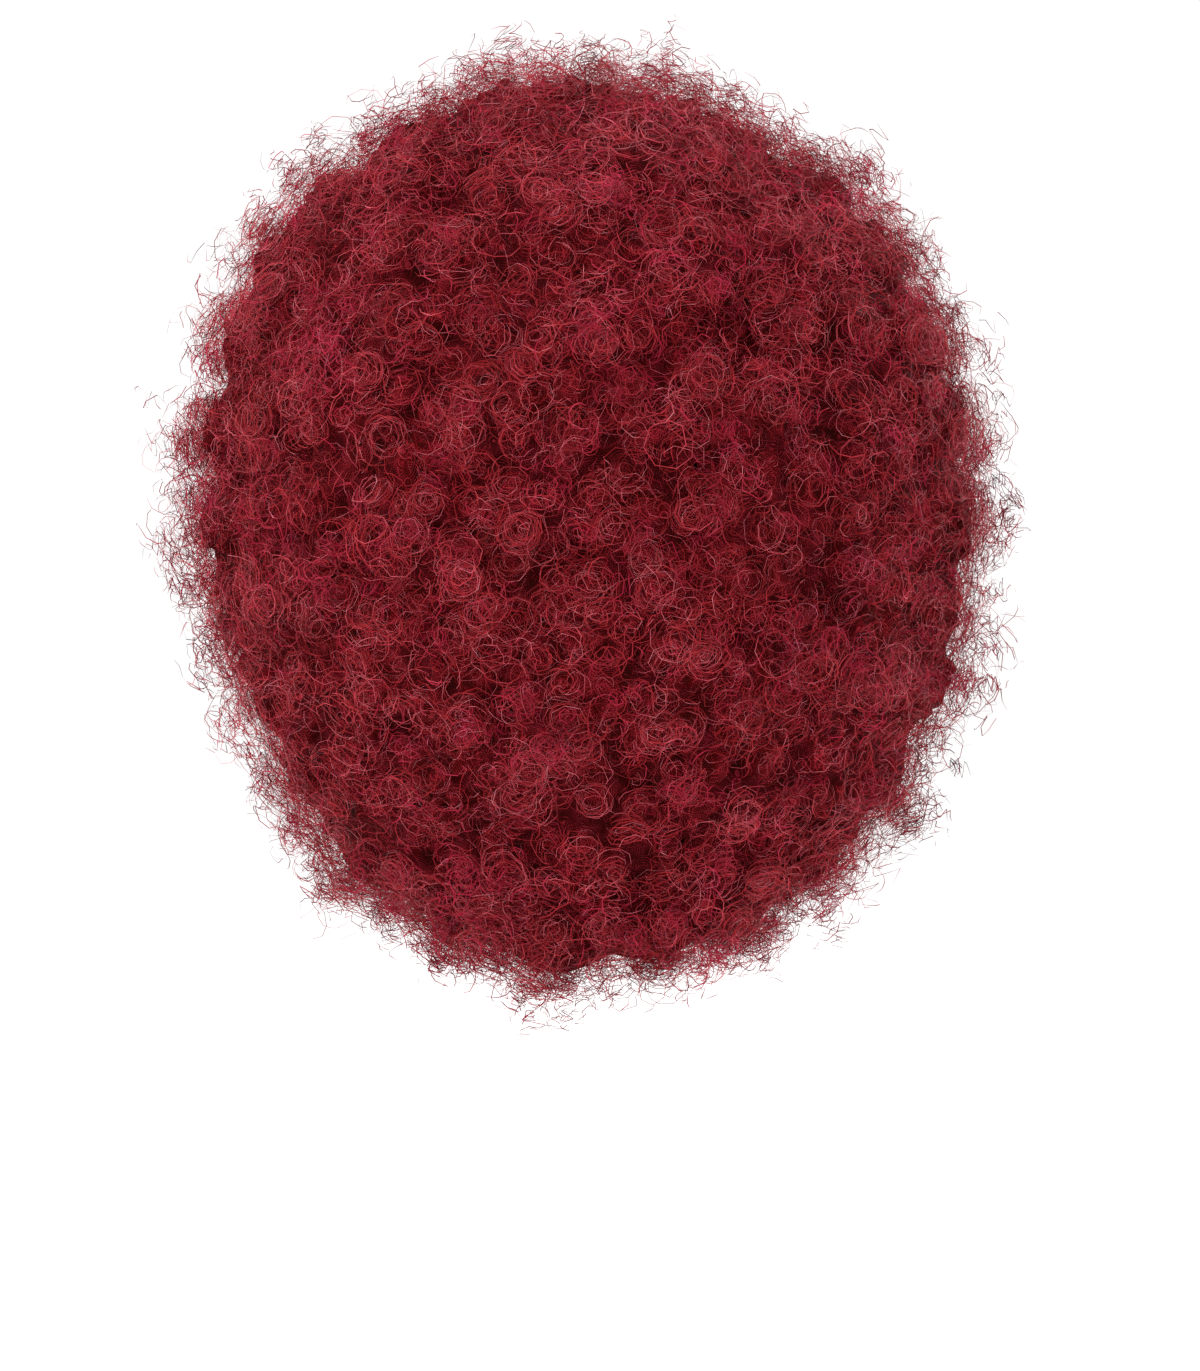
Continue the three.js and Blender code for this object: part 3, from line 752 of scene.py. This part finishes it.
def coils(kind, count):
    """Strands that coil side by side in each lock, seen end on as rings."""
    lock = pick_locks(count, COIL["rosette_weight"])
    axes = unit(lock_axes[lock] + rng.normal(0, COIL["tilt"], (count, 3)) * lock_mess[lock][:, None])
    radii = lock_radii[lock] * uniform(*kind["radius"], count)
    turns = uniform(*COIL["turns"], count)
    rise = turns * uniform(*COIL["pitch"], count)
    start = lock_height[lock] + uniform(*COIL["start"], count)
    scatter = np.where(rosette[lock], COIL["rosette_scatter"], COIL["scatter"])[:, None]
    base = lock_places[lock] + rng.normal(0, 1, (count, 3)) * scatter
    hand = lock_hand[lock]
    steps = kind["steps"]
    points, sides = coil_paths(base, axes, radii, turns, start, rise, hand, steps, COIL["drift"])
    shade = lock_shade[lock] + rng.normal(0, COIL["shade_spread"], count)
    return lock, points, sides, shade


def loops(kind, count):
    """Looser strands that cross the locks at all angles."""
    lock = pick_locks(count, kind["rosette_weight"])
    axes = unit(kind["along"] * lock_axes[lock] + rng.normal(0, kind["tilt"], (count, 3)))
    radii = uniform(*kind["radius"], count)
    turns = uniform(*kind["turns"], count)
    rise = rng.normal(0, kind["rise"], count)
    lift = lock_height[lock] + uniform(*kind["start"], count)
    scatter = rng.normal(0, kind["scatter"], (count, 3))
    base = lock_places[lock] + lock_axes[lock] * lift[:, None] + scatter
    hand = rng.choice([-1.0, 1.0], count)
    start = -rise / 2
    steps = kind["steps"]
    points, sides = coil_paths(base, axes, radii, turns, start, rise, hand, steps, kind["drift"])
    shade = lock_shade[lock] + kind["shade"] + rng.normal(0, kind["shade_spread"], count)
    return lock, points, sides, shade


def pick_outer(count):
    """Numbers of locks for fibres that stand proud, more of them on some tufts than others."""
    tall = OUTER["mean"] + OUTER["variation"] * wander(lock_places, OUTER["size"], "outer")
    tall = np.clip(tall, *OUTER["range"]) * (facing > OUTER["facing"])
    tall *= np.where(rosette, OUTER["rosette_weight"], 1.0) * lock_weight * (OUTER["clump"] + clump)
    return rng.choice(lock_count, count, p=tall / tall.sum())


def strays(kind):
    """Fine crimped fibres and small loops that stand proud of the outline."""
    count = kind["count"]
    lock = pick_outer(count)
    axes = unit(lock_axes[lock] + rng.normal(0, kind["tilt"], (count, 3)))
    radii = uniform(*kind["radius"], count)
    turns = uniform(*kind["turns"], count)
    rise = uniform(*kind["rise"], count)
    start = lock_height[lock] + uniform(*kind["start"], count)
    base = lock_places[lock] + rng.normal(0, kind["scatter"], (count, 3))
    hand = rng.choice([-1.0, 1.0], count)
    steps = kind["steps"]
    points, sides = coil_paths(base, axes, radii, turns, start, rise, hand, steps, kind["drift"])
    shade = lock_shade[lock] + kind["shade"] + rng.normal(0, kind["shade_spread"], count)
    return lock, points, sides, shade


def wisps(kind, own):
    """Small tufts of fine fibres that curl together at the outline, each a little its own way."""
    count, fibres = kind["count"], kind["fibres"]
    lock = np.repeat(pick_outer(count), fibres)
    total = len(lock)

    def shared(values):
        return np.repeat(values, fibres, axis=0)

    axes = shared(unit(lock_axes[lock[::fibres]] + rng.normal(0, kind["tilt"], (count, 3))))
    axes = unit(axes + rng.normal(0, own["tilt"], (total, 3)))
    radii = shared(uniform(*kind["radius"], count)) * uniform(*own["radius"], total)
    turns = shared(uniform(*kind["turns"], count)) + uniform(*own["turns"], total)
    rise = shared(uniform(*kind["rise"], count)) + uniform(*own["rise"], total)
    start = lock_height[lock] + shared(uniform(*kind["start"], count))
    start = start + rng.normal(0, own["start"], total)
    base = lock_places[lock] + shared(rng.normal(0, kind["scatter"], (count, 3)))
    base = base + rng.normal(0, own["scatter"], (total, 3))
    hand = shared(rng.choice([-1.0, 1.0], count))
    steps = kind["steps"]
    points, sides = coil_paths(base, axes, radii, turns, start, rise, hand, steps, kind["drift"])
    shade = lock_shade[lock] + kind["shade"] + shared(rng.normal(0, kind["shade_spread"], count))
    shade = shade + rng.normal(0, own["shade_spread"], total)
    return lock, points, sides, shade


def keep_inside(points):
    """Draws points that reach too far past the frame's box back to the limit."""
    low = np.array(cad_box[0]) - REACH_LIMIT
    high = np.array(cad_box[1]) + REACH_LIMIT
    return np.clip(points, low, high)


def ribbon_piece(name, groups, material):
    """One mesh of ribbons from (points, sides, shades, widths) groups; a shade is from 0 to 1."""
    places, corners, marks = [], [], []
    offset = 0
    for points, sides, shades, widths in groups:
        count, steps = points.shape[:2]
        to_tip = np.minimum(np.arange(steps), np.arange(steps)[::-1])
        taper = np.minimum(1, to_tip * RIBBON_TAPER + RIBBON_TIP)
        half = unit(sides) * (widths[:, None] * taper / 2)[..., None]
        places.append(np.stack([points - half, points + half], 2).reshape(-1, 3))
        strand = np.arange(count)[:, None] * steps * 2
        step = np.arange(steps - 1)[None, :] * 2
        first = offset + strand + step
        corners.append(np.stack([first, first + 1, first + 3, first + 2], -1).reshape(-1))
        offset += count * steps * 2
        near = np.broadcast_to(step / 2 / (steps - 1), (count, steps - 1))
        far = near + 1 / (steps - 1)
        strip = np.floor(np.clip(shades, 0, 0.999) * SHADE_STRIPS)[:, None]
        low = np.broadcast_to((strip + STRIP_MARGIN) / SHADE_STRIPS, near.shape)
        high = np.broadcast_to((strip + 1 - STRIP_MARGIN) / SHADE_STRIPS, near.shape)
        uv = np.stack([near, low, near, high, far, high, far, low], -1)
        marks.append(uv.reshape(-1))
    places = np.concatenate(places).astype(np.float32)
    corners = np.concatenate(corners).astype(np.int32)
    faces = len(corners) // 4
    mesh = bpy.data.meshes.new(name)
    mesh.vertices.add(len(places))
    mesh.vertices.foreach_set("co", places.ravel())
    mesh.loops.add(len(corners))
    mesh.loops.foreach_set("vertex_index", corners)
    mesh.polygons.add(faces)
    mesh.polygons.foreach_set("loop_start", np.arange(0, faces * 4, 4, dtype=np.int32))
    mesh.polygons.foreach_set("use_smooth", np.ones(faces, bool))
    mesh.update(calc_edges=True)
    layer = mesh.uv_layers.new(name="OFBake")
    layer.uv.foreach_set("vector", np.concatenate(marks).astype(np.float32))
    mesh.materials.append(material)
    piece = bpy.data.objects.new(name, mesh)
    scene.collection.objects.link(piece)
    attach(piece, "root")
    print(name, faces * 2, "triangles")


def part_numbers():
    """Which piece each lock belongs to: crown, nape, or one of four sides."""
    high, low = np.quantile(lock_up, [CROWN_FROM, NAPE_TO])
    turn = np.arctan2(lock_places[:, 0], lock_places[:, 1])
    rest = (lock_up <= high) & (lock_up >= low)
    quarters = np.quantile(turn[rest], [0.25, 0.5, 0.75])
    sides = 2 + np.searchsorted(quarters, turn)
    return np.where(lock_up > high, 0, np.where(lock_up < low, 1, sides))


PART_NAMES = [
    "curls_crown", "curls_nape",
    "curls_front_right", "curls_back_right", "curls_back_left", "curls_front_left",
]
share = 1.0


def finished(strands, chosen, width, painted_glint_share):
    """The chosen strands with their widths, some of them fine painted glints: pale tones that stand for
    highlights.
    """
    lock, points, sides, shades = strands
    count = chosen.sum()
    painted_glint = rng.random(count) < painted_glint_share
    widths = np.where(painted_glint, PAINTED_GLINT_WIDTH, uniform(*width, count))
    pale = uniform(PAINTED_GLINT_SHADE, 1.0, count)
    tones = np.where(painted_glint, pale, np.minimum(shades[chosen], PAINTED_GLINT_SHADE))
    return keep_inside(points[chosen]), sides[chosen], tones, widths


curls = [
    coils(WIDE_COIL, int(WIDE_COIL["count"] * share)),
    coils(TIGHT_COIL, int(TIGHT_COIL["count"] * share)),
    loops(LOOP, int(LOOP["count"] * share)),
]
parts = part_numbers()
curl_fibre = fibre_material("curl_fibre", CURL_TONES)
for part, name in enumerate(PART_NAMES):
    groups = [finished(s, parts[s[0]] == part, FIBRE_WIDTH, PAINTED_GLINT_SHARE) for s in curls]
    ribbon_piece(name, groups, curl_fibre)

fringe = [strays(STRAY), wisps(WISP, WISP_FIBRE)]
groups = [finished(s, s[0] >= 0, STRAY_WIDTH, STRAY_PAINTED_GLINT_SHARE) for s in fringe]
ribbon_piece("stray_fibres", groups, fibre_material("stray_fibre", STRAY_TONES))


# The cap and its band


def fabric_piece(name, node, edge, relief, material):
    """A finely divided copy of a CAD node, with its fabric's relief in the surface."""
    work = bmesh.new()
    work.from_mesh(node.data)
    bmesh.ops.remove_doubles(work, verts=work.verts, dist=WELD_DISTANCE)
    for _ in range(FABRIC_ROUNDS):
        bmesh.ops.triangulate(work, faces=work.faces)
        long_edges = [e for e in work.edges if e.calc_length() > edge]
        if long_edges:
            bmesh.ops.subdivide_edges(work, edges=long_edges, cuts=1)
    bmesh.ops.triangulate(work, faces=work.faces)
    mesh = bpy.data.meshes.new(name)
    work.to_mesh(mesh)
    work.free()
    places, normals = vertex_rows(mesh)
    places += normals * relief(places)[:, None]
    mesh.vertices.foreach_set("co", places.astype(np.float32).ravel())
    mesh.polygons.foreach_set("use_smooth", np.ones(len(mesh.polygons), bool))
    mesh.update()
    mesh.materials.append(material)
    piece = bpy.data.objects.new(name, mesh)
    scene.collection.objects.link(piece)
    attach(piece, "root")
    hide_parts(node.name)
    print(name, len(mesh.polygons), "triangles")


def weft_relief(places):
    """Rows of stitched weft that run round the cap, and the net's slight unevenness."""
    row = places[:, 2] + WEFT_SWAY * wander(places, 0.03, "weft")
    ridges = np.maximum(0, -np.cos(2 * np.pi * row / WEFT_SPACING))
    return WEFT_HEIGHT * ridges ** 2 + NET_HEIGHT * wander(places, 0.009, "net")


def gather_relief(places):
    """Small upright gathers along the elastic."""
    turn = np.arctan2(places[:, 0], places[:, 1] - BALL_CENTRE[1])
    wave = np.sin(turn * GATHERS + GATHER_SWAY * wander(places, 0.02, "gathers"))
    return GATHER_HEIGHT * wave + ELASTIC_HEIGHT * wander(places, 0.006, "elastic")


fabric_piece("cap_net", cap_node, CAP_EDGE, weft_relief, net_material())
fabric_piece("band_weave", band_node, BAND_EDGE, gather_relief, elastic_material())


# The studio


def plane(name, size, level):
    mesh = bpy.data.meshes.new(name)
    half = size / 2
    corners = [(-half, -half, level), (half, -half, level), (half, half, level), (-half, half, level)]
    mesh.from_pydata(corners, [], [(0, 1, 2, 3)])
    made_plane = bpy.data.objects.new(name, mesh)
    scene.collection.objects.link(made_plane)
    return made_plane


def area_light(name, place, target, size, power):
    light = bpy.data.lights.new(name, "AREA")
    light.shape = "SQUARE"
    light.size = size
    light.energy = power
    lamp = bpy.data.objects.new(name, light)
    lamp.location = place
    lamp.rotation_euler = (Vector(target) - Vector(place)).to_track_quat("-Z", "Y").to_euler()
    lamp.visible_camera = False
    scene.collection.objects.link(lamp)


floor = plane("studio_floor", 40.0, FLOOR_LEVEL)
floor.data.materials.append(floor_material())

area_light("key", (2.0, 1.45, 0.45), VIEW_CENTRE, 1.2, 30.0)
area_light("top", (0.3, 0.5, 1.9), VIEW_CENTRE, 1.5, 15.0)
area_light("fill", (-1.6, -1.4, 1.2), VIEW_CENTRE, 1.6, 16.0)
area_light("low", (-0.9, 1.7, -0.36), VIEW_CENTRE, 0.9, 9.0)

world = bpy.data.worlds.new("studio")
world.use_nodes = True
world.node_tree.nodes["Background"].inputs["Color"].default_value = (1.0, 1.0, 1.0, 1.0)
world.node_tree.nodes["Background"].inputs["Strength"].default_value = 1.06
scene.world = world
scene.view_settings.view_transform = "Standard"

elevation = math.radians(VIEW_ELEVATION)
back = Vector((0.0, math.cos(elevation), math.sin(elevation)))
camera = bpy.data.cameras.new("camera")
camera.sensor_width = SENSOR
camera.lens = SENSOR / 2 / (PHOTO_HEIGHT / 2 / VIEW_DISTANCE)
camera_object = bpy.data.objects.new("camera", camera)
camera_object.location = Vector(VIEW_CENTRE) + back * VIEW_DISTANCE
camera_object.rotation_euler = (-back).to_track_quat("-Z", "Y").to_euler()
scene.collection.objects.link(camera_object)
scene.camera = camera_object
